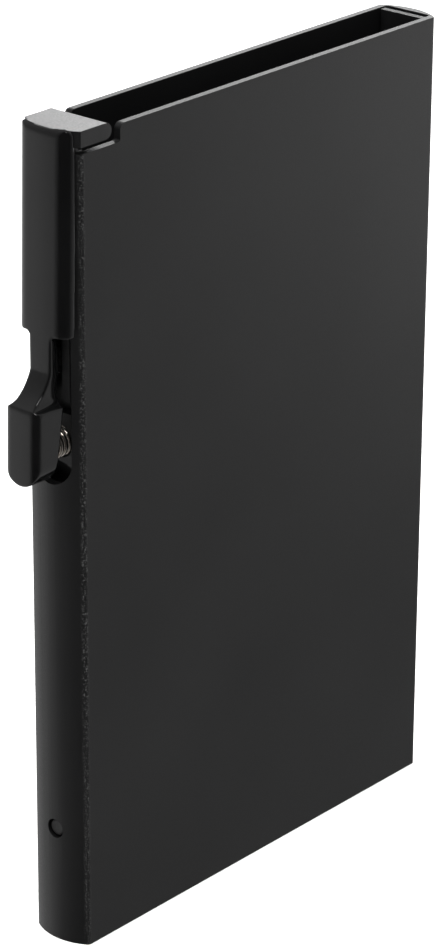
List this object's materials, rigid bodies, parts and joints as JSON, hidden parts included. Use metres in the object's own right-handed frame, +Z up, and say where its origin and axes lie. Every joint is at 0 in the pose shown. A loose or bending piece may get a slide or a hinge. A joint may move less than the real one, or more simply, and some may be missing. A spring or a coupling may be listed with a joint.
{
  "type": "card wallet",
  "caption": "Slim black card wallet: an extruded sleeve open at the top, with a sprung side lever whose hook closes one corner of the mouth.",
  "frame": {"origin": "centre of the sleeve's underside", "axes": "+Z up through the sleeve towards its open mouth, +X across the width away from the lever, +Y towards the back face"},
  "size_m": [0.0641, 0.0076, 0.0928],
  "materials": {
    "anodised_black": "satin black anodised",
    "moulded_black": "matt moulded",
    "gloss_black": "glossy moulded",
    "satin_black": "satin black coating",
    "spring_steel": "bright drawn wire"
  },
  "bodies": {
    "case": {"housing": "anodised_black", "base_cap": "moulded_black", "side_carrier": "moulded_black", "guide_rail": "moulded_black", "retaining_pin_left": "moulded_black", "retaining_pin_right": "moulded_black", "return_spring": "spring_steel"},
    "lever": {"lever_cover": "gloss_black", "latch_hook": "satin_black", "pivot_pin": "spring_steel"}
  },
  "joints": [
    {"name": "lever_hinge", "type": "hinge", "parent": "case", "child": "lever", "pos_m": [-0.02843, 0, 0.0674], "axis": [0, -1, 0], "range_deg": [0, 8.5], "stiffness_Nm_per_rad": 0.03, "springref_deg": -17.19, "deforming": ["return_spring"]}
  ]
}
